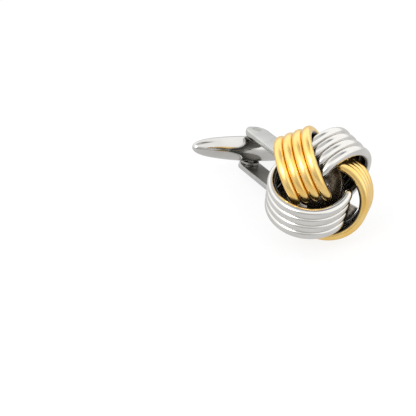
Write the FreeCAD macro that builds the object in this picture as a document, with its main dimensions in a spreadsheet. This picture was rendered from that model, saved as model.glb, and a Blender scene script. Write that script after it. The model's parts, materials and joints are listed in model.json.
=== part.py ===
import FreeCAD, Part
import math
import os

from FreeCAD import Placement, Rotation, Vector

# A cufflink: a knot of four wire bands on a bowl, a fork behind it, and a swivel bar on a hinge pin.
#
# Each piece is drawn in the fork's own axes: +Y runs from the knot to the bar along the fork,
# +Z along the hinge pin, and the bar lies along X with its long nose at -X. The origin there is the
# middle of the back plate's rear face. The whole is then set down as it lies on a table, with +Z up
# and the origin under the middle of its box.

# Driving dimensions: alias, value, what it is. Lengths in millimetres, angles in degrees.
SIZES = [
    ("ring_radius", 4.95, "knot ring, to the wires' centre lines"),
    ("wire_diameter", 1.25, "one wire of a band"),
    ("wire_gap", 0.04, "between neighbouring wires of a band"),
    ("ring_shift_under", 0.775, "ring centre from the knot's axis, along the ring's slope"),
    ("ring_shift_along", 2.035, "ring centre from the knot's axis, the way the band runs"),
    ("ring_tilt", 46.5, "ring axis from the knot's axis"),
    ("ring_end_angle", 182.0, "sawn end of each wire, from the ring's highest point"),
    ("tip_angle_outer", 25.0, "rounded tip of the outer wire, before the ring's highest point"),
    ("tip_angle_second", 25.5, "the same, second wire"),
    ("tip_angle_third", 29.5, "the same, third wire"),
    ("tip_angle_inner", 38.0, "the same, wire next to the knot's axis"),
    ("tip_angle_more_1", 0.0, "how much further the first band's tips run"),
    ("tip_angle_more_2", 6.0, "the same, second band"),
    ("tip_angle_more_3", 9.0, "the same, third band"),
    ("tip_angle_more_4", 0.0, "the same, fourth band"),
    ("knot_rise", 2.1, "knot centre above the fork's middle line"),
    ("knot_lean", 25.0, "knot's axis tilted up from the fork's line"),
    ("knot_spin", 26.0, "knot turned about its own axis"),
    ("bowl_gap", 0.08, "between the bowl and the nearest wires"),
    ("bowl_wall", 0.5, "bowl sheet"),
    ("lug_clearance", 0.175, "between a lug's edge and the wires of the ring that it stands in"),
    ("lug_thickness", 0.5, "bowl's lugs"),
    ("lug_offset", 0.25, "lug from the middle of its band, along the ring's axis"),
    ("lug_start_angle", 48.0, "lug's front end, from the ring's highest point"),
    ("lug_sweep_angle", 122.0, "lug's front end to its rear end"),
    ("plate_radius", 2.5, "round back plate"),
    ("plate_thickness", 0.7, "round back plate"),
    ("plate_clearance", 0.16, "plate's nearest edge behind the wires"),
    ("spigot_clearance", 0.6, "round the plate's spigot, inside the wires' ends"),
    ("solder_gap", 0.02, "between the spigot's end and the bowl"),
    ("arm_width", 3.4, "fork strip"),
    ("arm_thickness", 0.7, "fork strip"),
    ("arm_end_setback", 0.5, "middle of the arms' round ends before the hinge axis"),
    ("pin_radius", 0.6, "hinge pin"),
    ("pin_corner_inset", 0.006, "corners of the pin's square middle, inside its round ends"),
    ("seat_clearance", 0.02, "pin in the fork, plug in the bar's bore"),
    ("running_clearance", 0.03, "bar, washers and spring on the pin"),
    ("washer_radius", 1.3, "spacer washer"),
    ("washer_thickness", 0.33, "spacer washer"),
    ("washer_play", 0.02, "each side of a spacer washer"),
    ("bar_radius", 1.73, "swivel bar at the hinge"),
    ("bar_front", 9.4, "hinge axis to the long nose's point"),
    ("bar_rear", 8.0, "hinge axis to the plug's point"),
    ("swing_clearance", 1.3, "plug's point past the fork's web as the bar turns"),
    ("nose_start", 5.3, "hinge axis to where the long nose starts"),
    ("nose_fall", 0.26, "bar's radius at the hinge less that where the long nose starts"),
    ("plug_nose", 2.4, "length of the plug's rounded end"),
    ("plug_spigot", 1.2, "plug inside the bore"),
    ("bar_wall", 0.58, "wall of the hollow bar at the hinge"),
    ("bore_front", 4.4, "bore's end before the hinge axis"),
    ("leaf_thickness", 0.18, "detent spring's strip"),
    ("leaf_width", 1.3, "detent spring's strip"),
    ("leaf_front", 1.8, "detent spring's ends before the hinge axis"),
    ("leaf_side_room", 0.25, "pin's square middle beyond each edge of the spring"),
    ("rest_bank", 17.9, "fork turned about its own line as the cufflink lies"),
    ("rest_drop", 8.1, "fork's line below level as the cufflink lies"),
]

# What follows from them: alias, formula, what it is.
DERIVED = [
    ("wire_pitch", "wire_diameter + wire_gap", "from wire to wire of a band"),
    ("band_half_width", "3 * wire_pitch / 2", "band's middle to its outer wire's centre line"),
    ("knot_depth", "ring_radius * sin(ring_tilt) + band_half_width * cos(ring_tilt) + wire_diameter / 2",
     "knot centre to the back of the wires"),
    ("plate_edge_lift", "(plate_radius - knot_rise) * sin(knot_lean)",
     "what the knot's lean adds behind it at the plate's upper edge"),
    ("knot_reach", "plate_thickness + (knot_depth + plate_clearance + plate_edge_lift) / cos(knot_lean)",
     "knot centre before the plate's rear face"),
    ("end_in_plane_x", "ring_shift_under * cos(ring_tilt) + ring_radius * cos(ring_end_angle)",
     "knot centre to a wire's sawn end, in the ring's plane, up its slope"),
    ("end_in_plane_y", "ring_shift_along + ring_radius * sin(ring_end_angle)", "the same, along the band"),
    ("lug_radius", "ring_radius - wire_diameter / 2 - lug_clearance", "bowl's lugs, from the ring's middle"),
    ("bowl_radius", "sqrt(end_in_plane_x ^ 2 + end_in_plane_y ^ 2) - wire_diameter / 2 - bowl_gap",
     "outside of the bowl that the bands are soldered to"),
    ("end_from_axis_x", "ring_shift_under + ring_radius * cos(ring_end_angle) * cos(ring_tilt)"
     " + band_half_width * sin(ring_tilt)", "knot's axis to the outer wire's sawn end, across the band"),
    ("end_from_axis", "sqrt(end_from_axis_x ^ 2 + end_in_plane_y ^ 2)", "knot's axis to the same sawn end"),
    ("spigot_radius", "end_from_axis - wire_diameter / 2 - spigot_clearance",
     "plate's spigot, which reaches the bowl"),
    ("arm_gap", "2 * (bar_radius + washer_thickness + 2 * washer_play)", "clear between the fork's arms"),
    ("post_length", "bar_rear + swing_clearance + arm_thickness", "plate's rear face to the hinge axis"),
    ("arm_length", "post_length - arm_end_setback", "plate's rear face to the middle of the arms' ends"),
    ("pin_flats", "sqrt(2) * (pin_radius - pin_corner_inset)",
     "across the flats of the pin's square middle"),
    ("pin_square_length", "leaf_width + 2 * leaf_side_room", "square middle of the pin"),
    ("bore_radius", "bar_radius - bar_wall", "bore of the hollow bar"),
    ("nose_radius", "bar_radius - nose_fall", "bar where the long nose starts"),
]

BANDS = 4
BAND_METALS = ("gold", "silver", "gold", "silver")
TIP_ALIASES = ("tip_angle_outer", "tip_angle_second", "tip_angle_third", "tip_angle_inner")
WIRE_PLACES = ("outer", "second", "third", "inner")
# A nose's two middle control points: how far along the nose, and how high at its point.
NOSE_FLANK_SHARE = 0.55
NOSE_POINT_SHARE = 0.6

X_AXIS = Vector(1, 0, 0)
Y_AXIS = Vector(0, 1, 0)
Z_AXIS = Vector(0, 0, 1)
ORIGIN = Vector(0, 0, 0)
ALONG_POST = Rotation(X_AXIS, -90)

doc = FreeCAD.newDocument("cufflink")
sheet = doc.addObject("Spreadsheet::Sheet", "Sizes")
formulas = [(alias, f"={formula}", meaning) for alias, formula, meaning in DERIVED]
for row, (alias, content, meaning) in enumerate(SIZES + formulas, start=1):
    sheet.set(f"A{row}", meaning)
    sheet.setAlias(f"B{row}", alias)
    sheet.set(f"B{row}", str(content))
doc.recompute()

# Finished pieces: document object and its place in the fork's axes, in the order they are made.
pieces = []


def size(alias):
    """The value of a cell of the sheet."""
    return float(sheet.get(alias))


def solid(kind, name, rotation=None, **bindings):
    """A Part primitive with properties bound to the sheet; Base_x means Placement.Base.x."""
    made = doc.addObject(f"Part::{kind}", name)
    if rotation:
        made.Placement = Placement(ORIGIN, rotation)
    for prop, expression in bindings.items():
        path = prop.replace("Base_", "Placement.Base.")
        made.setExpression(path, expression)
    return made


def fuse(name, shapes):
    """One solid of several that share faces or overlap."""
    made = doc.addObject("Part::MultiFuse", name)
    made.Shapes = shapes
    made.Refine = True
    return made


def cut(name, base, tool):
    """Base with the tool taken away."""
    made = doc.addObject("Part::Cut", name)
    made.Base = base
    made.Tool = tool
    return made


def finish_piece(made, label, place=Placement()):
    """Name a finished piece and note where it goes in the fork's axes."""
    made.Label = label
    pieces.append((made, place))


def knot_place():
    """The knot's centre and axis, which is its own +Z, in the fork's axes."""
    centre = Vector(0, -size("knot_reach"), size("knot_rise"))
    facing = Rotation(X_AXIS, 90 - size("knot_lean")) * Rotation(Z_AXIS, size("knot_spin"))
    return Placement(centre, facing)


def ring_place(band):
    """The middle of a band's ring, in the knot's axes. Its +Z is the ring's axis."""
    centre = Vector(-size("ring_shift_under"), size("ring_shift_along"), 0)
    turn = Placement(ORIGIN, Rotation(Z_AXIS, -band * 360 / BANDS))
    return turn * Placement(centre, Rotation(Y_AXIS, 180 + size("ring_tilt")))


def make_wire(band, position):
    """One wire: a stretch of a ring with a half ball on its tip. The ring's highest point is angle zero."""
    label = f"{BAND_METALS[band]}_band_{band + 1}_wire_{WIRE_PLACES[position]}"
    tip = TIP_ALIASES[position]
    more = f"tip_angle_more_{band + 1}"
    arc = solid("Torus", label + "_arc", Radius1="Sizes.ring_radius", Radius2="Sizes.wire_diameter / 2",
                Angle3=f"Sizes.ring_end_angle + Sizes.{tip} + Sizes.{more}")
    cap = solid("Sphere", label + "_cap", Rotation(X_AXIS, 90), Radius="Sizes.wire_diameter / 2",
                Base_x="Sizes.ring_radius")
    cap.Angle1 = 0
    steps_from_middle = position - (len(WIRE_PLACES) - 1) / 2
    offset = steps_from_middle * size("wire_pitch")
    along_ring = Placement(Vector(0, 0, -offset), Rotation(Z_AXIS, -size(tip) - size(more)))
    finish_piece(fuse(label + "_solid", [arc, cap]), label, knot_place() * ring_place(band) * along_ring)


def make_bowl():
    """Half a hollow ball, open to the knot's front, with a lug standing in each band's ring."""
    outside = solid("Sphere", "bowl_outside", Radius="Sizes.bowl_radius")
    outside.Angle2 = 0
    parts = [outside]
    along_ring = Placement(Vector(0, 0, size("lug_offset")), Rotation(Z_AXIS, size("lug_start_angle")))
    for band in range(BANDS):
        lug = solid("Cylinder", f"bowl_lug_{band + 1}", Radius="Sizes.lug_radius",
                    Height="Sizes.lug_thickness", Angle="Sizes.lug_sweep_angle")
        lug.Placement = ring_place(band) * along_ring
        parts.append(lug)
    inside = solid("Sphere", "bowl_inside", Radius="Sizes.bowl_radius - Sizes.bowl_wall")
    finish_piece(cut("bowl_solid", fuse("bowl_blank", parts), inside), "knot_bowl", knot_place())


def make_back_plate():
    """Round plate behind the knot, with a spigot whose end follows the bowl."""
    disc = solid("Cylinder", "plate_disc", ALONG_POST, Radius="Sizes.plate_radius",
                 Height="Sizes.plate_thickness", Base_y="-Sizes.plate_thickness")
    spigot = solid("Cylinder", "plate_spigot", ALONG_POST, Radius="Sizes.spigot_radius",
                   Height="Sizes.knot_reach - Sizes.plate_thickness", Base_y="-Sizes.knot_reach")
    seat = solid("Sphere", "plate_seat", Radius="Sizes.bowl_radius + Sizes.solder_gap",
                 Base_y="-Sizes.knot_reach", Base_z="Sizes.knot_rise")
    finish_piece(fuse("plate_solid", [disc, cut("plate_spigot_seated", spigot, seat)]), "back_plate")


def make_fork():
    """Strip bent to a U: a web on the back plate and two arms with round ends, drilled for the pin."""
    half_gap = "Sizes.arm_gap / 2"
    levels = {"upper": half_gap, "lower": f"-{half_gap} - Sizes.arm_thickness"}
    parts = []
    for level, height in levels.items():
        parts.append(solid("Box", f"fork_{level}_strip", Length="Sizes.arm_width",
                           Width="Sizes.arm_length", Height="Sizes.arm_thickness",
                           Base_x="-Sizes.arm_width / 2", Base_z=height))
        parts.append(solid("Cylinder", f"fork_{level}_end", Radius="Sizes.arm_width / 2",
                           Height="Sizes.arm_thickness", Base_y="Sizes.arm_length", Base_z=height))
    parts.append(solid("Box", "fork_web", Length="Sizes.arm_width", Width="Sizes.arm_thickness",
                       Height="Sizes.arm_gap", Base_x="-Sizes.arm_width / 2", Base_z=f"-{half_gap}"))
    hole = solid("Cylinder", "fork_hole", Radius="Sizes.pin_radius + Sizes.seat_clearance",
                 Height="Sizes.arm_gap + 2 * Sizes.arm_thickness", Base_y="Sizes.post_length",
                 Base_z=f"-{half_gap} - Sizes.arm_thickness")
    finish_piece(cut("fork_solid", fuse("fork_blank", parts), hole), "fork")


def hinge_place():
    """The middle of the hinge axis, in the fork's axes."""
    return Placement(Vector(0, size("post_length"), 0), Rotation())


def make_pin():
    """Hinge pin, flush with the fork's outer faces, with a square middle for the spring to grip."""
    half_length = "(Sizes.arm_gap / 2 + Sizes.arm_thickness)"
    half_square = "Sizes.pin_square_length / 2"
    ends = {"upper": half_square, "lower": f"-{half_length}"}
    parts = []
    for level, height in ends.items():
        parts.append(solid("Cylinder", f"pin_{level}_end", Radius="Sizes.pin_radius",
                           Height=f"{half_length} - {half_square}", Base_z=height))
    parts.append(solid("Box", "pin_square", Length="Sizes.pin_flats", Width="Sizes.pin_flats",
                       Height="Sizes.pin_square_length", Base_x="-Sizes.pin_flats / 2",
                       Base_y="-Sizes.pin_flats / 2", Base_z=f"-{half_square}"))
    finish_piece(fuse("pin_solid", parts), "hinge_pin", hinge_place())


def make_washers():
    """Two spacers on the pin that keep the bar in the middle of the fork."""
    thickness = "Sizes.washer_thickness"
    levels = {"upper": "Sizes.bar_radius + Sizes.washer_play",
              "lower": "Sizes.washer_play - Sizes.arm_gap / 2"}
    for level, height in levels.items():
        disc = solid("Cylinder", f"washer_{level}_disc", Radius="Sizes.washer_radius", Height=thickness,
                     Base_z=height)
        hole = solid("Cylinder", f"washer_{level}_hole", Height=thickness, Base_z=height,
                     Radius="Sizes.pin_radius + Sizes.running_clearance")
        finish_piece(cut(f"washer_{level}_solid", disc, hole), f"spacer_washer_{level}", hinge_place())


def side_circle_radius():
    """The bar's sides are one long arc, highest at the hinge: its radius."""
    fall = size("nose_fall")
    return (size("nose_start") ** 2 + fall ** 2) / (2 * fall)


def bar_radius_at(along):
    """The bar's outer radius at a distance from the hinge axis."""
    radius = side_circle_radius()
    return size("bar_radius") - radius + math.sqrt(radius ** 2 - along ** 2)


def nose_curve(start, end):
    """Half a rounded nose in profile, from the bar's side at start to the axis at end."""
    side = bar_radius_at(start)
    slope = -start / math.sqrt(side_circle_radius() ** 2 - start ** 2)
    along_flank = NOSE_FLANK_SHARE * (end - start)
    curve = Part.BezierCurve()
    flank = Vector(start + along_flank, side + slope * along_flank, 0)
    point = Vector(end, NOSE_POINT_SHARE * side, 0)
    curve.setPoles([Vector(start, side, 0), flank, point, Vector(end, 0, 0)])
    return curve.toShape()


def revolve_profile(edges):
    """A solid of revolution about X from profile edges in order round the profile."""
    return Part.Face(Part.Wire(edges)).revolve(ORIGIN, X_AXIS, 360)


def lines_through(points):
    """Straight edges from point to point."""
    return [Part.LineSegment(a, b).toShape() for a, b in zip(points, points[1:])]


def make_bar():
    """Hollow bar with a long nose, bored from its rear end and drilled across for the pin."""
    rear_edge = size("bar_rear") - size("plug_nose")
    bore = size("bore_radius")
    nose_join = Vector(-size("nose_start"), size("nose_radius"), 0)
    rear_corner = Vector(rear_edge, bar_radius_at(rear_edge), 0)
    side = Part.Arc(rear_corner, Vector(0, size("bar_radius"), 0), nose_join).toShape()
    inside = lines_through([Vector(-size("bar_front"), 0, 0), Vector(-size("bore_front"), 0, 0),
                            Vector(-size("bore_front"), bore, 0), Vector(rear_edge, bore, 0), rear_corner])
    blank = doc.addObject("Part::Feature", "bar_blank")
    blank.Shape = revolve_profile([side, nose_curve(-size("nose_start"), -size("bar_front"))] + inside)
    hole = solid("Cylinder", "bar_hole", Radius="Sizes.pin_radius + Sizes.running_clearance",
                 Height="2 * Sizes.bar_radius", Base_z="-Sizes.bar_radius")
    finish_piece(cut("bar_solid", blank, hole), "swivel_bar", hinge_place())


def make_plug():
    """Rounded plug that closes the bar's rear end."""
    rear_edge = size("bar_rear") - size("plug_nose")
    inner_end = rear_edge - size("plug_spigot")
    spigot = size("bore_radius") - size("seat_clearance")
    points = [Vector(size("bar_rear"), 0, 0), Vector(inner_end, 0, 0), Vector(inner_end, spigot, 0),
              Vector(rear_edge, spigot, 0), Vector(rear_edge, bar_radius_at(rear_edge), 0)]
    plug = doc.addObject("Part::Feature", "plug_solid")
    plug.Shape = revolve_profile(lines_through(points) + [nose_curve(rear_edge, size("bar_rear"))])
    finish_piece(plug, "bar_end_plug", hinge_place())


def make_spring():
    """Hairpin leaf inside the bar: its bend stands on the plug, its legs grip the pin's flats."""
    inner = "(Sizes.pin_flats / 2 + Sizes.running_clearance)"
    outer = f"({inner} + Sizes.leaf_thickness)"
    bend_centre = f"(Sizes.bar_rear - Sizes.plug_nose - Sizes.plug_spigot - Sizes.seat_clearance - {outer})"
    half_width = "Sizes.leaf_width / 2"
    bend_turn = Rotation(Z_AXIS, -90)
    bends = []
    for name, radius in (("outside", outer), ("inside", inner)):
        bend = solid("Cylinder", f"spring_bend_{name}", bend_turn, Radius=radius, Height="Sizes.leaf_width",
                     Base_x=bend_centre, Base_z=f"-{half_width}")
        bend.Angle = 180
        bends.append(bend)
    parts = [cut("spring_bend", *bends)]
    for side, place in (("front", inner), ("back", f"-{outer}")):
        parts.append(solid("Box", f"spring_{side}_leg", Length=f"{bend_centre} + Sizes.leaf_front",
                           Width="Sizes.leaf_thickness", Height="Sizes.leaf_width",
                           Base_x="-Sizes.leaf_front", Base_y=place, Base_z=f"-{half_width}"))
    finish_piece(fuse("spring_solid", parts), "detent_spring", hinge_place())


def set_down():
    """Lay the cufflink as it rests: turn every piece alike, then bring the box's foot to the origin."""
    tilt = Rotation(X_AXIS, -size("rest_drop")) * Rotation(Y_AXIS, size("rest_bank"))
    box = FreeCAD.BoundBox()
    for made, place in pieces:
        made.Placement = Placement(ORIGIN, tilt) * place
        box.add(made.Shape.optimalBoundingBox(False, False))
    shift = Vector(-box.Center.x, -box.Center.y, -box.ZMin)
    rest = Placement(shift, tilt)
    for made, place in pieces:
        made.Placement = rest * place
    return rest


def check_document():
    """Stop if any object failed or any piece isn't one valid solid."""
    for made in doc.Objects:
        if "Invalid" in made.State or "Error" in made.State:
            raise RuntimeError(f"{made.Label} failed: {made.State}")
    for made, _ in pieces:
        if made.Shape.isNull() or not made.Shape.isValid() or len(made.Shape.Solids) != 1:
            raise RuntimeError(f"{made.Label} isn't one valid solid")


for band in range(BANDS):
    for position in range(len(WIRE_PLACES)):
        make_wire(band, position)
make_bowl()
make_back_plate()
make_fork()
make_pin()
make_washers()
make_bar()
make_plug()
make_spring()
doc.recompute()
rest_place = set_down()
doc.recompute()
check_document()

os.makedirs("parts", exist_ok=True)
for made, _ in pieces:
    made.Shape.exportStep(os.path.join("parts", made.Label + ".step"))
hinge = rest_place.multVec(hinge_place().Base)
print("pieces:", len(pieces))
print("hinge at", [round(value, 4) for value in hinge])
print("rest rows", [[round(value, 6) for value in rest_place.Matrix.row(index)] for index in range(3)])
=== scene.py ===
import json
import math

import bmesh
import bpy
from mathutils import Matrix, Vector


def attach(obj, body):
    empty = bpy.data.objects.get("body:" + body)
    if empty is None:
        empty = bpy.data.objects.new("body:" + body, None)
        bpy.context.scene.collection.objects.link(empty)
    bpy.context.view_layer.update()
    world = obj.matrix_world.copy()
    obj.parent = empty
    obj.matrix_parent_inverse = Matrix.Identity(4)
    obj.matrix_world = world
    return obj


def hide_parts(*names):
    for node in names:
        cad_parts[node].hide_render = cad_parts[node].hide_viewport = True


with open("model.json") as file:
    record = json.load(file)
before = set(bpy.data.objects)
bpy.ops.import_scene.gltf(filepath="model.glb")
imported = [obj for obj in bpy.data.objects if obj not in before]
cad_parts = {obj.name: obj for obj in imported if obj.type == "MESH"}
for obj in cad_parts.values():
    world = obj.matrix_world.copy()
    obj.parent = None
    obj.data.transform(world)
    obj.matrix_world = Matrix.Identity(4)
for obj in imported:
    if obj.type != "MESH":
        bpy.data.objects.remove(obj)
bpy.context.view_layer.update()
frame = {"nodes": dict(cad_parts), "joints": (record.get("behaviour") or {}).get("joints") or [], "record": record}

# A cufflink: a knot of four wire bands on a dark bowl, a satin fork behind it, and a polished swivel bar.
# Pieces are drawn in millimetres in the fork's axes: +Y from the knot to the bar, +Z along the hinge pin,
# and the bar along X with its long nose at -X. Angles are in degrees.
MM = 0.001
PER_MM = 1 / MM
QUARTER_TURN = 90.0
HALF_TURN = 180.0

# Knot, as the solids have it.
RING_RADIUS = 4.95
WIRE_RADIUS = 0.625
WIRE_PITCH = 1.29
RING_SHIFT_UNDER = 0.775
RING_SHIFT_ALONG = 2.035
RING_TILT = 46.5
RING_END_ANGLE = 182.0
TIP_ANGLES = (25.0, 25.5, 29.5, 38.0)
TIP_ANGLES_MORE = (0.0, 6.0, 9.0, 0.0)
WIRE_PLACES = ("outer", "second", "third", "inner")
BAND_METALS = ("gold", "silver", "gold", "silver")
KNOT_REACH = 7.184
KNOT_RISE = 2.1
KNOT_LEAN = 25.0
KNOT_SPIN = 26.0
BOWL_RADIUS = 4.085
BOWL_WALL = 0.5
LUG_RADIUS = 4.15
LUG_THICKNESS = 0.5
LUG_OFFSET = 0.25
LUG_START_ANGLE = 48.0
LUG_SWEEP_ANGLE = 122.0

# Fork, washers and swivel bar, as the solids have them.
POST_LENGTH = 10.0
ARM_WIDTH = 3.4
ARM_THICKNESS = 0.7
ARM_LENGTH = 9.5
ARM_GAP = 4.2
PIN_RADIUS = 0.6
SEAT_CLEARANCE = 0.02
RUNNING_CLEARANCE = 0.03
WASHER_RADIUS = 1.3
WASHER_THICKNESS = 0.33
WASHER_PLAY = 0.02
BAR_RADIUS = 1.73
BAR_FRONT = 9.4
BAR_REAR = 8.0
NOSE_START = 5.3
NOSE_FALL = 0.26
PLUG_NOSE = 2.4
PLUG_SPIGOT = 1.2
BORE_RADIUS = 1.15
BORE_FRONT = 4.4
NOSE_FLANK_SHARE = 0.55
NOSE_POINT_SHARE = 0.6

# Softening that the finish adds. A tip's middle moves outward as it narrows, by a share of the narrowing.
TIP_LENGTH = 1.1
TIP_LIFT_SHARE = 0.45
RIB_POWER = 2.35
RIB_WIDENING = 1.022
SAWN_EDGE = 0.08
STRIP_EDGE = 0.16
STRIP_BEND = 0.75
RIM_EDGE = 0.12
LUG_OVERLAP = 0.1
SEAM_EDGE = 0.04
SMALLEST_RADIUS = 0.004

# Camera: where it stands about the knot's centre, and where that centre falls in the picture.
CAMERA_AZIMUTH = -30.8
CAMERA_ELEVATION = 35.3
CAMERA_ROLL = 1.5
CAMERA_DISTANCE = 252.0
PICTURE_PIXELS = 416
FOCAL_PIXELS = 1941.0
KNOT_PIXEL = (318.4, 183.2)
SENSOR_WIDTH = 36.0
CLIP_NEAR = 0.01
CLIP_FAR = 20.0

# Mesh fineness.
WIRE_SIDES = 40
WIRE_STEPS = 120
TIP_STEPS = 14
LUG_STEPS = 48
LATHE_SIDES = 96
CORNER_STEPS = 5
ARM_END_STEPS = 21
ARM_END_SWING = 87.0
BEND_STEPS = 10
BAR_NOSE_STEPS = 28
BAR_SIDE_STEPS = 48
EDGE_LIMIT_SHARE = 0.9
SHARP_ANGLE = 40.0


def turn(angle, axis):
    """A rotation matrix from degrees."""
    return Matrix.Rotation(math.radians(angle), 4, axis)


def shift(x, y, z):
    """A translation matrix in millimetres."""
    return Matrix.Translation((x, y, z))


def fork_axes():
    """The hinge's place and the fork's axes, read from the frame's joint and post mount."""
    joint = frame["joints"][0]
    post = next(mount for mount in frame["record"]["mounts"] if mount["name"] == "cuff_post")
    up = -Vector(joint["axis"]).normalized()
    along = Vector(post["axis"]).normalized()
    axes = Matrix((along.cross(up), along, up)).transposed().to_4x4()
    return Matrix.Translation(Vector(joint["pos_m"]) / MM) @ axes


HINGE_PLACE = fork_axes()
FORK_PLACE = HINGE_PLACE @ shift(0, -POST_LENGTH, 0)
KNOT_MIDDLE = FORK_PLACE @ shift(0, -KNOT_REACH, KNOT_RISE)
KNOT_PLACE = KNOT_MIDDLE @ turn(QUARTER_TURN - KNOT_LEAN, "X") @ turn(KNOT_SPIN, "Z")
KNOT_CENTRE = KNOT_PLACE.translation * MM
RING_PLACE = shift(-RING_SHIFT_UNDER, RING_SHIFT_ALONG, 0) @ turn(HALF_TURN + RING_TILT, "Y")


def ring_place(band):
    """The middle and axes of a band's ring, a quarter turn round the knot from the band before."""
    return KNOT_PLACE @ turn(-band * QUARTER_TURN, "Z") @ RING_PLACE


def way_round(loop):
    """Distances round a closed loop, from its first point back to it."""
    distances = [0.0]
    for point, following in zip(loop, loop[1:] + loop[:1]):
        distances.append(distances[-1] + (following - point).length)
    return distances


def link_mesh(name, made, place):
    """A mesh drawn in millimetres, set in its place in metres, smooth but for its sharp edges."""
    bmesh.ops.recalc_face_normals(made, faces=made.faces)
    mesh = bpy.data.meshes.new(name)
    made.to_mesh(mesh)
    made.free()
    mesh.transform(Matrix.Scale(MM, 4) @ place)
    mesh.polygons.foreach_set("use_smooth", [True] * len(mesh.polygons))
    mesh.set_sharp_from_angle(angle=math.radians(SHARP_ANGLE))
    piece = bpy.data.objects.new(name, mesh)
    bpy.context.scene.collection.objects.link(piece)
    return piece


def skin(name, loops, place):
    """A closed mesh through loops of points. Its UV runs round from 0 to 1, and along in millimetres."""
    made = bmesh.new()
    uv_layer = made.loops.layers.uv.new("around_along")
    rings = [[made.verts.new(point) for point in loop] for loop in loops]
    sides = len(loops[0])
    shares = way_round(max(loops, key=lambda loop: way_round(loop)[-1]))
    along = 0.0
    for first, second in zip(rings, rings[1:]):
        step = max((a.co - b.co).length for a, b in zip(first, second))
        for i in range(sides):
            j = (i + 1) % sides
            face = made.faces.new((first[i], first[j], second[j], second[i]))
            left = shares[i] / shares[-1]
            right = shares[i + 1] / shares[-1]
            corners = ((left, along), (right, along), (right, along + step), (left, along + step))
            for corner, place_on_skin in zip(face.loops, corners):
                corner[uv_layer].uv = place_on_skin
        along += step
    made.faces.new(list(reversed(rings[0])))
    made.faces.new(rings[-1])
    return link_mesh(name, made, place)


def ring_skin(name, loops, place):
    """A closed mesh through loops that come back to the first one, with no ends to cap."""
    made = bmesh.new()
    rings = [[made.verts.new(point) for point in loop] for loop in loops]
    sides = len(loops[0])
    for first, second in zip(rings, rings[1:] + rings[:1]):
        for i in range(sides):
            j = (i + 1) % sides
            made.faces.new((first[i], first[j], second[j], second[i]))
    return link_mesh(name, made, place)


def circle(centre, first, second, radius):
    """Points of a circle in the plane of two directions."""
    angles = [2 * math.pi * i / LATHE_SIDES for i in range(LATHE_SIDES)]
    return [centre + radius * (math.cos(a) * first + math.sin(a) * second) for a in angles]


def rib(centre, first, second, radius):
    """A wire's section: a circle squared a little, so that neighbours meet in shallow grooves."""
    points = []
    for i in range(WIRE_SIDES):
        angle = 2 * math.pi * i / WIRE_SIDES
        x = math.copysign(abs(math.cos(angle)) ** (2 / RIB_POWER), math.cos(angle))
        y = math.copysign(abs(math.sin(angle)) ** (2 / RIB_POWER), math.sin(angle))
        points.append(centre + radius * (x * first + y * second))
    return points


def lathe(profile):
    """Loops of a turned shape about X, from points (along, radius)."""
    y_axis = Vector((0, 1, 0))
    z_axis = Vector((0, 0, 1))
    return [circle(Vector((along, 0, 0)), y_axis, z_axis, max(radius, SMALLEST_RADIUS))
            for along, radius in profile]


def combine(piece, other, operation):
    """Join a second mesh to a piece or cut it away, and remove the second."""
    change = piece.modifiers.new("combine", "BOOLEAN")
    change.object = other
    change.operation = operation
    change.solver = "EXACT"
    evaluated = piece.evaluated_get(bpy.context.evaluated_depsgraph_get())
    combined = bpy.data.meshes.new_from_object(evaluated)
    combined.set_sharp_from_angle(angle=math.radians(SHARP_ANGLE))
    piece.modifiers.clear()
    old = piece.data
    piece.data = combined
    bpy.data.meshes.remove(old)
    bpy.data.objects.remove(other)


def drill(piece, radius, half_length, place):
    """Cut a round hole along the place's X axis."""
    cutter = skin("drill", lathe([(-half_length, radius), (half_length, radius)]), place)
    combine(piece, cutter, "DIFFERENCE")


def finish_piece(piece, node, body, material):
    """Give a piece its material, and set it in the place of its node."""
    piece.data.materials.clear()
    piece.data.materials.append(material)
    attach(piece, body)
    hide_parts(node)


# Materials. Noise values are spread from their middle range, and tints blend between two stops.
NOISE_RANGE = (0.3, 0.7)
TINT_STOPS = (0.35, 0.65)
BLOTCH_DETAIL = 3.0
STREAK_DETAIL = 4.0
RELIEF_DEPTH = 0.02
WHITE = (1.0, 1.0, 1.0, 1.0)


def add_node(tree, kind, **inputs):
    """A shader node with some of its inputs set by name."""
    node = tree.nodes.new(kind)
    for name, value in inputs.items():
        node.inputs[name.replace("_", " ")].default_value = value
    return node


def streak_noise(tree, coordinates, scale, detail):
    """Noise stretched by a scale along each of three axes."""
    mapping = add_node(tree, "ShaderNodeMapping", Scale=scale)
    noise = add_node(tree, "ShaderNodeTexNoise", Scale=1.0, Detail=detail)
    tree.links.new(coordinates, mapping.inputs["Vector"])
    tree.links.new(mapping.outputs["Vector"], noise.inputs["Vector"])
    return noise.outputs["Fac"]


def spread(tree, value, low, high):
    """A noise value's middle range spread between two values."""
    start, end = NOISE_RANGE
    ranged = add_node(tree, "ShaderNodeMapRange", From_Min=start, From_Max=end, To_Min=low, To_Max=high)
    tree.links.new(value, ranged.inputs["Value"])
    return ranged.outputs["Result"]


def math_node(tree, operation, first, second):
    """A piece of arithmetic on two values, each linked or a plain number."""
    node = tree.nodes.new("ShaderNodeMath")
    node.operation = operation
    for socket, value in zip(node.inputs, (first, second)):
        if isinstance(value, float):
            socket.default_value = value
        else:
            tree.links.new(value, socket)
    return node.outputs["Value"]


def smooth_range(tree, value, start, end, low, high):
    """A value eased from low to high between two limits."""
    ranged = add_node(tree, "ShaderNodeMapRange", From_Min=start, From_Max=end, To_Min=low, To_Max=high)
    ranged.interpolation_type = "SMOOTHSTEP"
    tree.links.new(value, ranged.inputs["Value"])
    return ranged.outputs["Result"]


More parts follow.
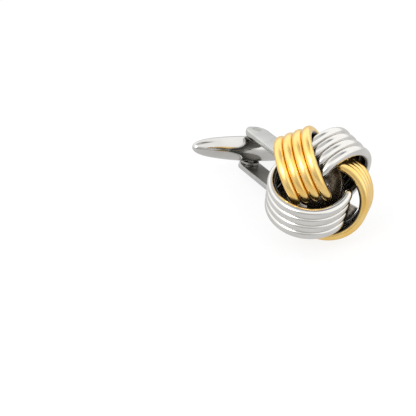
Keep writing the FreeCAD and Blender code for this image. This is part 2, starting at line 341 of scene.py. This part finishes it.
def painted_shade_side(tree, where, colour, dark):
    """Painted shade: a colour turned dark on one side of a swept piece, from some way along it."""
    split = tree.nodes.new("ShaderNodeSeparateXYZ")
    tree.links.new(where.outputs["UV"], split.inputs["Vector"])
    from_middle = math_node(tree, "SUBTRACT", split.outputs["X"], dark["middle"])
    away = math_node(tree, "ABSOLUTE", from_middle, 0.0)
    side = smooth_range(tree, away, *dark["width"], 1.0, 0.0)
    past_tip = smooth_range(tree, split.outputs["Y"], *dark["along"], 0.0, 1.0)
    return mix_colours(tree, math_node(tree, "MULTIPLY", side, past_tip), colour, dark["colour"])


def mix_colours(tree, factor, first, second):
    """A mix of a linked colour and a fixed one, by a linked factor."""
    mix = tree.nodes.new("ShaderNodeMix")
    mix.data_type = "RGBA"
    colours = [socket for socket in mix.inputs if socket.type == "RGBA"]
    tree.links.new(factor, mix.inputs["Factor"])
    tree.links.new(first, colours[0])
    colours[1].default_value = second
    return next(socket for socket in mix.outputs if socket.type == "RGBA")


def metal(name, colours, roughness, streak_scale, blotches_per_mm, bump, coordinates="UV", dark=None):
    """A metal whose colour drifts between two tones, with streaks in its roughness, a fine bump, and painted shade
    where asked.
    """
    material = bpy.data.materials.new(name)
    material.use_nodes = True
    tree = material.node_tree
    shader = tree.nodes["Principled BSDF"]
    shader.inputs["Metallic"].default_value = 1.0
    where = tree.nodes.new("ShaderNodeTexCoord")
    blotches = streak_noise(tree, where.outputs["Object"], (blotches_per_mm * PER_MM,) * 3, BLOTCH_DETAIL)
    streaks = streak_noise(tree, where.outputs[coordinates], streak_scale, STREAK_DETAIL)
    tint = tree.nodes.new("ShaderNodeValToRGB")
    for element, stop, tone in zip(tint.color_ramp.elements, TINT_STOPS, colours):
        element.position = stop
        element.color = (*tone, 1.0)
    tree.links.new(blotches, tint.inputs["Fac"])
    colour = tint.outputs["Color"]
    # Painted shade on one side of a swept piece, darkening its colour there.
    if dark:
        colour = painted_shade_side(tree, where, colour, dark)
    tree.links.new(colour, shader.inputs["Base Color"])
    tree.links.new(spread(tree, streaks, *roughness), shader.inputs["Roughness"])
    relief = add_node(tree, "ShaderNodeBump", Strength=bump, Distance=RELIEF_DEPTH * MM)
    tree.links.new(streaks, relief.inputs["Height"])
    tree.links.new(relief.outputs["Normal"], shader.inputs["Normal"])
    return material


# Painted shade on the inner sides of swept pieces: its middle as a share of the way round, the half width over
# which it fades, the millimetres along the piece over which it begins, and its colour.
WIRE_PAINTED_SHADE = {"middle": 0.5, "width": (0.14, 0.22), "along": (1.0, 2.8),
               "colour": (0.06, 0.055, 0.048, 1.0)}
# The fork's darker inner faces are painted shade.
FORK_PAINTED_SHADE = {"middle": 0.725, "width": (0.18, 0.21), "along": (0.5, 3.5),
               "colour": (0.20, 0.19, 0.175, 1.0)}
WIRE_STREAK_SCALE = (36.0, 0.7, 1.0)
# The wire metals carry painted shade on each wire's inner side, towards the knot's hollow.
GOLD = metal("gold_plate", colours=((0.98, 0.635, 0.19), (1.0, 0.715, 0.28)), roughness=(0.19, 0.32),
             streak_scale=WIRE_STREAK_SCALE, blotches_per_mm=0.4, bump=0.25, dark=WIRE_PAINTED_SHADE)
SILVER = metal("silver_plate", colours=((0.70, 0.685, 0.655), (0.76, 0.745, 0.715)), roughness=(0.11, 0.22),
               streak_scale=WIRE_STREAK_SCALE, blotches_per_mm=0.4, bump=0.25, dark=WIRE_PAINTED_SHADE)
SATIN = metal("satin_steel", colours=((0.55, 0.555, 0.54), (0.61, 0.61, 0.59)), roughness=(0.24, 0.38),
              streak_scale=(110.0, 0.8, 1.0), blotches_per_mm=0.6, bump=0.5, dark=FORK_PAINTED_SHADE)
# A darker copy of the satin steel, as painted shade, for the washers, pin and back plate between and behind the
# arms.
SATIN_PAINTED_SHADE = metal("satin_steel_painted_shade", colours=((0.40, 0.40, 0.385), (0.48, 0.48, 0.46)),
                     roughness=(0.28, 0.42), streak_scale=(6.0 * PER_MM, 0.8 * PER_MM, 6.0 * PER_MM),
                     blotches_per_mm=0.6, bump=0.4, coordinates="Object")
POLISHED = metal("polished_bar", colours=((0.59, 0.58, 0.56), (0.66, 0.65, 0.63)), roughness=(0.07, 0.17),
                 streak_scale=(54.0, 0.5, 1.0), blotches_per_mm=0.3, bump=0.2)
# The bowl's dark tone is painted shade for the knot's hollow.
BOWL_PAINTED_SHADE = metal("dark_bowl", colours=((0.25, 0.225, 0.19), (0.56, 0.50, 0.43)), roughness=(0.16, 0.30),
             streak_scale=(14.0, 6.0, 1.0), blotches_per_mm=0.9, bump=0.4)
SPRING = metal("spring_steel", colours=((0.38, 0.39, 0.42), (0.48, 0.48, 0.49)), roughness=(0.22, 0.36),
               streak_scale=(5.0 * PER_MM, 0.6 * PER_MM, 5.0 * PER_MM), blotches_per_mm=1.0, bump=0.3,
               coordinates="Object")
WIRE_METALS = {"gold": GOLD, "silver": SILVER}
ROOT_BODY = "knot_and_fork"
SWIVEL_BODY = "swivel"


def wire_loops(tip_angle):
    """A stretch of ring with a drawn-out tip and a sawn end. Zero is the centre of the solid's round tip."""
    end = RING_RADIUS * math.radians(RING_END_ANGLE + tip_angle)
    start = TIP_LENGTH - WIRE_RADIUS
    stations = []
    for step in range(1, TIP_STEPS + 1):
        swing = math.pi / 2 * step / TIP_STEPS
        stations.append((start - TIP_LENGTH * math.cos(swing), WIRE_RADIUS * math.sin(swing)))
    last = end - SAWN_EDGE
    for step in range(1, WIRE_STEPS + 1):
        stations.append((start + (last - start) * step / WIRE_STEPS, WIRE_RADIUS))
    stations.append((end, WIRE_RADIUS - SAWN_EDGE))
    axial = Vector((0, 0, 1))
    loops = []
    for along, radius in stations:
        angle = along / RING_RADIUS
        radial = Vector((math.cos(angle), math.sin(angle), 0))
        middle = RING_RADIUS + TIP_LIFT_SHARE * (WIRE_RADIUS - radius) if along < start else RING_RADIUS
        loops.append(rib(middle * radial, radial, RIB_WIDENING * axial, radius))
    return loops


def make_wires():
    """Four bands of four wires, each band a quarter turn from the last."""
    middle = (len(WIRE_PLACES) - 1) / 2
    for band, metal_name in enumerate(BAND_METALS):
        for position, (label, tip_angle) in enumerate(zip(WIRE_PLACES, TIP_ANGLES)):
            tip = tip_angle + TIP_ANGLES_MORE[band]
            offset = (position - middle) * WIRE_PITCH
            place = ring_place(band) @ shift(0, 0, -offset) @ turn(-tip, "Z")
            node = f"{metal_name}_band_{band + 1}_wire_{label}"
            piece = skin(f"{metal_name}_wire_{band + 1}_{label}", wire_loops(tip), place)
            finish_piece(piece, node, ROOT_BODY, WIRE_METALS[metal_name])


def strip_loop(centre, across, normal, half_width, half_thickness):
    """A rectangle with rounded corners, smaller where the strip is thin."""
    edge = min(STRIP_EDGE, EDGE_LIMIT_SHARE * half_width, EDGE_LIMIT_SHARE * half_thickness)
    points = []
    for quarter in range(4):
        start = math.pi / 2 * quarter
        side = 1 if quarter in (0, 3) else -1
        top = 1 if quarter in (0, 1) else -1
        for step in range(CORNER_STEPS):
            angle = start + math.pi / 2 * step / (CORNER_STEPS - 1)
            x = side * (half_width - edge) + edge * math.cos(angle)
            y = top * (half_thickness - edge) + edge * math.sin(angle)
            points.append(centre + x * across + y * normal)
    return points


def lug_loops():
    """A lug's sections in its ring's axes, from just inside the bowl's wall out to the lug's own radius."""
    knot_centre = RING_PLACE.inverted().translation
    axial = Vector((0, 0, 1))
    level = LUG_OFFSET + LUG_THICKNESS / 2
    ball = BOWL_RADIUS - BOWL_WALL + LUG_OVERLAP
    room = ball ** 2 - (level - knot_centre.z) ** 2 - knot_centre.xy.length_squared
    loops = []
    for step in range(LUG_STEPS + 1):
        angle = math.radians(LUG_START_ANGLE + LUG_SWEEP_ANGLE * step / LUG_STEPS)
        radial = Vector((math.cos(angle), math.sin(angle), 0))
        ahead = knot_centre.dot(radial)
        inner = ahead + math.sqrt(ahead ** 2 + room)
        middle = (LUG_RADIUS + inner) / 2 * radial + level * axial
        loops.append(strip_loop(middle, radial, axial, (LUG_RADIUS - inner) / 2, LUG_THICKNESS / 2))
    return loops


def make_bowl():
    """Half a hollow ball with a rounded rim, open to the knot's front, and a lug in each band's ring, in painted
    shade.
    """
    steps = LATHE_SIDES // 2
    inner = BOWL_RADIUS - BOWL_WALL
    swings = [math.radians(QUARTER_TURN * step / steps) for step in range(steps)]
    outside = [(-BOWL_RADIUS * math.cos(swing), BOWL_RADIUS * math.sin(swing)) for swing in swings]
    rim = [(-RIM_EDGE, BOWL_RADIUS), (0, BOWL_RADIUS - RIM_EDGE), (0, inner + RIM_EDGE), (-RIM_EDGE, inner)]
    inside = [(-inner * math.cos(swing), inner * math.sin(swing)) for swing in reversed(swings)]
    profile = [point for point in outside if point[0] < -RIM_EDGE] + rim
    profile += [point for point in inside if point[0] < -RIM_EDGE]
    piece = skin("bowl_turned", lathe(profile), KNOT_PLACE @ turn(-QUARTER_TURN, "Y"))
    for band in range(len(BAND_METALS)):
        combine(piece, skin("lug", lug_loops(), ring_place(band)), "UNION")
    finish_piece(piece, "knot_bowl", ROOT_BODY, BOWL_PAINTED_SHADE)


def fork_stations():
    """The bent strip's middle line, from the lower arm's end to the upper's: y, z, heading, half sizes."""
    half = ARM_THICKNESS / 2
    level = ARM_GAP / 2 + half
    round_end = ARM_WIDTH / 2
    arm = []
    for step in range(ARM_END_STEPS + 1):
        swing = math.radians(ARM_END_SWING - ARM_END_SWING * step / ARM_END_STEPS)
        from_end = round_end * (1 - math.sin(swing))
        room = max(0.0, STRIP_EDGE - from_end)
        thin = half - STRIP_EDGE + math.sqrt(STRIP_EDGE ** 2 - room ** 2)
        reach = round_end * math.sin(swing)
        arm.append((ARM_LENGTH + reach, -level, HALF_TURN, round_end * math.cos(swing), thin))
    bend_y = half + STRIP_BEND
    bend_z = -level + STRIP_BEND
    arm.append(((ARM_LENGTH + bend_y) / 2, -level, HALF_TURN, round_end, half))
    for step in range(BEND_STEPS + 1):
        swing = QUARTER_TURN * step / BEND_STEPS
        angle = math.radians(swing)
        y = bend_y - STRIP_BEND * math.sin(angle)
        z = bend_z - STRIP_BEND * math.cos(angle)
        arm.append((y, z, HALF_TURN - swing, round_end, half))
    mirrored = [(y, -z, HALF_TURN - heading, *halves) for y, z, heading, *halves in reversed(arm)]
    return arm + mirrored


def make_fork():
    """Satin strip bent to a U, with round ends and softened edges, drilled for the pin."""
    across = Vector((1, 0, 0))
    loops = []
    for y, z, heading, half_width, half_thickness in fork_stations():
        angle = math.radians(heading)
        normal = Vector((0, -math.sin(angle), math.cos(angle)))
        loops.append(strip_loop(Vector((0, y, z)), across, normal, half_width, half_thickness))
    piece = skin("fork_strip", loops, FORK_PLACE)
    drill(piece, PIN_RADIUS + SEAT_CLEARANCE, ARM_GAP, HINGE_PLACE @ turn(QUARTER_TURN, "Y"))
    finish_piece(piece, "fork", ROOT_BODY, SATIN)


def make_washers():
    """Spacers with softened rims, either side of the bar."""
    hole = PIN_RADIUS + RUNNING_CLEARANCE
    lowest = {"upper": BAR_RADIUS + WASHER_PLAY, "lower": WASHER_PLAY - ARM_GAP / 2}
    for level, low in lowest.items():
        high = low + WASHER_THICKNESS
        profile = [(low, hole), (low, WASHER_RADIUS - SEAM_EDGE), (low + SEAM_EDGE, WASHER_RADIUS),
                   (high - SEAM_EDGE, WASHER_RADIUS), (high, WASHER_RADIUS - SEAM_EDGE), (high, hole)]
        piece = ring_skin(f"washer_{level}_turned", lathe(profile), HINGE_PLACE @ turn(-QUARTER_TURN, "Y"))
        # The washers take the satin steel's darker copy, which is painted shade.
        finish_piece(piece, f"spacer_washer_{level}", ROOT_BODY, SATIN_PAINTED_SHADE)


def side_circle_radius():
    """The bar's sides are one long arc, highest at the hinge: its radius."""
    return (NOSE_START ** 2 + NOSE_FALL ** 2) / (2 * NOSE_FALL)


def bar_radius_at(along):
    """The bar's outer radius at a distance from the hinge axis."""
    radius = side_circle_radius()
    return BAR_RADIUS - radius + math.sqrt(radius ** 2 - along ** 2)


def nose_points(start, end):
    """Half a rounded nose in profile, from the axis at end to the bar's side at start: one cubic curve."""
    side = bar_radius_at(start)
    slope = -start / math.sqrt(side_circle_radius() ** 2 - start ** 2)
    reach = NOSE_FLANK_SHARE * (end - start)
    poles = ((end, 0), (end, NOSE_POINT_SHARE * side), (start + reach, side + slope * reach), (start, side))
    points = []
    for step in range(BAR_NOSE_STEPS):
        t = step / BAR_NOSE_STEPS
        weights = ((1 - t) ** 3, 3 * t * (1 - t) ** 2, 3 * t ** 2 * (1 - t), t ** 3)
        points.append(tuple(sum(w * pole[i] for w, pole in zip(weights, poles)) for i in range(2)))
    return points


def make_bar():
    """Polished hollow bar with a long nose, drilled across for the pin, and the plug in its rear end."""
    rear_edge = BAR_REAR - PLUG_NOSE
    side_length = rear_edge - SEAM_EDGE + NOSE_START
    sides = [-NOSE_START + side_length * step / BAR_SIDE_STEPS for step in range(BAR_SIDE_STEPS + 1)]
    profile = nose_points(-NOSE_START, -BAR_FRONT) + [(along, bar_radius_at(along)) for along in sides]
    profile += [(rear_edge, bar_radius_at(rear_edge) - SEAM_EDGE), (rear_edge, BORE_RADIUS),
                (-BORE_FRONT, BORE_RADIUS), (-BORE_FRONT, 0)]
    bar = skin("bar_turned", lathe(profile), HINGE_PLACE)
    drill(bar, PIN_RADIUS + RUNNING_CLEARANCE, ARM_GAP, HINGE_PLACE @ turn(QUARTER_TURN, "Y"))
    finish_piece(bar, "swivel_bar", SWIVEL_BODY, POLISHED)
    spigot = BORE_RADIUS - SEAT_CLEARANCE
    profile = nose_points(rear_edge, BAR_REAR)
    profile += [(rear_edge + SEAM_EDGE, bar_radius_at(rear_edge)),
                (rear_edge, bar_radius_at(rear_edge) - SEAM_EDGE), (rear_edge, spigot),
                (rear_edge - PLUG_SPIGOT, spigot), (rear_edge - PLUG_SPIGOT, 0)]
    plug = skin("plug_turned", lathe(profile), HINGE_PLACE)
    finish_piece(plug, "bar_end_plug", SWIVEL_BODY, POLISHED)


def dress_hidden_nodes():
    """Materials for the solids that stay as they are."""
    # The back plate and pin take the satin steel's darker copy, which is painted shade.
    kept = {"back_plate": SATIN_PAINTED_SHADE, "hinge_pin": SATIN_PAINTED_SHADE, "detent_spring": SPRING}
    for node, material in kept.items():
        mesh = frame["nodes"][node].data
        mesh.materials.clear()
        mesh.materials.append(material)


# Floor, light and camera.
FLOOR_SIZE = 6.0
FLOOR_COLOUR = (0.84, 0.84, 0.84, 1.0)
FLOOR_GLOW = 1.04
FLOOR_GLOW_SHARE = 0.80
FLOOR_MIRRORED_GLOW = 0.70
SKY_STRENGTH = 1.30
HORIZON_LEVEL = 0.60
HORIZON_RISE = 0.25
FRONT_DIRECTION = (-0.51, -0.86, 0.10)
FRONT_SPREAD = (0.60, 0.97)
FRONT_LEVEL = 0.45
OVER_DIRECTION = (0.05, 0.25, 0.95)
OVER_SPREAD = (0.86, 0.96)
OVER_LEVEL = 0.55
BOOM_DIRECTION = (0.37, 0.18, 0.88)
BOOM_SPREAD = (0.975, 0.992)
BOOM_LEVEL = 0.35
KEY_PLACE = (-0.22, -0.09, 0.23)
KEY_SIZE = 0.16
KEY_POWER = 0.25


def make_floor():
    """Pale floor: mostly white to the camera, greyer in reflections, with a soft shadow left in it."""
    mesh = bpy.data.meshes.new("floor")
    half = FLOOR_SIZE / 2
    corners = [(-half, -half, 0), (half, -half, 0), (half, half, 0), (-half, half, 0)]
    mesh.from_pydata(corners, [], [(0, 1, 2, 3)])
    floor = bpy.data.objects.new("floor", mesh)
    bpy.context.scene.collection.objects.link(floor)
    material = bpy.data.materials.new("pale_floor")
    material.use_nodes = True
    tree = material.node_tree
    tree.nodes.remove(tree.nodes["Principled BSDF"])
    output = tree.nodes["Material Output"]
    matt = add_node(tree, "ShaderNodeBsdfDiffuse", Color=FLOOR_COLOUR)
    glow = tree.nodes.new("ShaderNodeEmission")
    path = tree.nodes.new("ShaderNodeLightPath")
    level = add_node(tree, "ShaderNodeMapRange", To_Min=FLOOR_MIRRORED_GLOW, To_Max=FLOOR_GLOW)
    tree.links.new(path.outputs["Is Camera Ray"], level.inputs["Value"])
    tree.links.new(level.outputs["Result"], glow.inputs["Strength"])
    mirrored = math_node(tree, "MAXIMUM", path.outputs["Is Glossy Ray"], path.outputs["Is Transmission Ray"])
    seen = math_node(tree, "MAXIMUM", mirrored, path.outputs["Is Camera Ray"])
    mix = tree.nodes.new("ShaderNodeMixShader")
    tree.links.new(math_node(tree, "MULTIPLY", seen, FLOOR_GLOW_SHARE), mix.inputs["Fac"])
    tree.links.new(matt.outputs["BSDF"], mix.inputs[1])
    tree.links.new(glow.outputs["Emission"], mix.inputs[2])
    tree.links.new(mix.outputs["Shader"], output.inputs["Surface"])
    floor.data.materials.append(material)


def view_axes():
    """The camera's right, up and back directions for the knot's centre, with its roll."""
    azimuth = math.radians(CAMERA_AZIMUTH)
    elevation = math.radians(CAMERA_ELEVATION)
    roll = math.radians(CAMERA_ROLL)
    back = Vector((math.sin(azimuth) * math.cos(elevation), -math.cos(azimuth) * math.cos(elevation),
                   math.sin(elevation)))
    level = Vector((math.cos(azimuth), math.sin(azimuth), 0))
    upright = back.cross(level)
    right = level * math.cos(roll) + upright * math.sin(roll)
    return right, back.cross(right), back


def facing_share(tree, where, direction, spread_limits, level):
    """Falls from 1 to a level as the view turns to a direction, between two cosines."""
    facing = tree.nodes.new("ShaderNodeVectorMath")
    facing.operation = "DOT_PRODUCT"
    facing.inputs[1].default_value = Vector(direction).normalized()
    tree.links.new(where.outputs["Generated"], facing.inputs[0])
    return smooth_range(tree, facing.outputs["Value"], *spread_limits, 1.0, level)


def make_world():
    """White room, greyer overhead with a dark boom, and darker low down on the camera's side."""
    world = bpy.data.worlds.new("white_room")
    bpy.context.scene.world = world
    world.use_nodes = True
    tree = world.node_tree
    sky = tree.nodes["Background"]
    where = tree.nodes.new("ShaderNodeTexCoord")
    split = tree.nodes.new("ShaderNodeSeparateXYZ")
    tree.links.new(where.outputs["Generated"], split.inputs["Vector"])
    height = smooth_range(tree, split.outputs["Z"], 0.0, HORIZON_RISE, HORIZON_LEVEL, 1.0)
    front = facing_share(tree, where, FRONT_DIRECTION, FRONT_SPREAD, FRONT_LEVEL)
    over = facing_share(tree, where, OVER_DIRECTION, OVER_SPREAD, OVER_LEVEL)
    boom = facing_share(tree, where, BOOM_DIRECTION, BOOM_SPREAD, BOOM_LEVEL)
    low = math_node(tree, "MULTIPLY", height, front)
    room = math_node(tree, "MULTIPLY", low, math_node(tree, "MULTIPLY", over, boom))
    tree.links.new(math_node(tree, "MULTIPLY", room, SKY_STRENGTH), sky.inputs["Strength"])
    sky.inputs["Color"].default_value = WHITE
    white = add_node(tree, "ShaderNodeBackground", Color=WHITE)
    path = tree.nodes.new("ShaderNodeLightPath")
    seen = tree.nodes.new("ShaderNodeMixShader")
    tree.links.new(path.outputs["Is Camera Ray"], seen.inputs["Fac"])
    tree.links.new(sky.outputs["Background"], seen.inputs[1])
    tree.links.new(white.outputs["Background"], seen.inputs[2])
    tree.links.new(seen.outputs["Shader"], tree.nodes["World Output"].inputs["Surface"])


def make_key():
    """One soft lamp above and to the left."""
    lamp = bpy.data.lights.new("key", "AREA")
    lamp.shape = "DISK"
    lamp.size = KEY_SIZE
    lamp.energy = KEY_POWER
    key = bpy.data.objects.new("key", lamp)
    bpy.context.scene.collection.objects.link(key)
    key.location = KEY_PLACE
    key.rotation_euler = (-Vector(KEY_PLACE)).to_track_quat("-Z", "Y").to_euler()


def make_camera():
    """The camera stands off the knot's centre, aimed so that the centre falls on its pixel."""
    right, up, back = view_axes()
    axes = Matrix((right, up, back)).transposed()
    half = PICTURE_PIXELS / 2
    seen = Vector((KNOT_PIXEL[0] - half, half - KNOT_PIXEL[1], -FOCAL_PIXELS)).normalized()
    aim = seen.rotation_difference(Vector((0, 0, -1))).to_matrix()
    data = bpy.data.cameras.new("camera")
    data.sensor_width = SENSOR_WIDTH
    data.lens = FOCAL_PIXELS / PICTURE_PIXELS * SENSOR_WIDTH
    data.clip_start = CLIP_NEAR
    data.clip_end = CLIP_FAR
    camera = bpy.data.objects.new("camera", data)
    bpy.context.scene.collection.objects.link(camera)
    stand = Matrix.Translation(KNOT_CENTRE + CAMERA_DISTANCE * MM * back)
    camera.matrix_world = stand @ (axes @ aim).to_4x4()
    bpy.context.scene.camera = camera


make_camera()
make_wires()
make_bowl()
make_fork()
make_washers()
make_bar()
dress_hidden_nodes()
make_floor()
make_world()
make_key()
bpy.context.scene.view_settings.view_transform = "Standard"
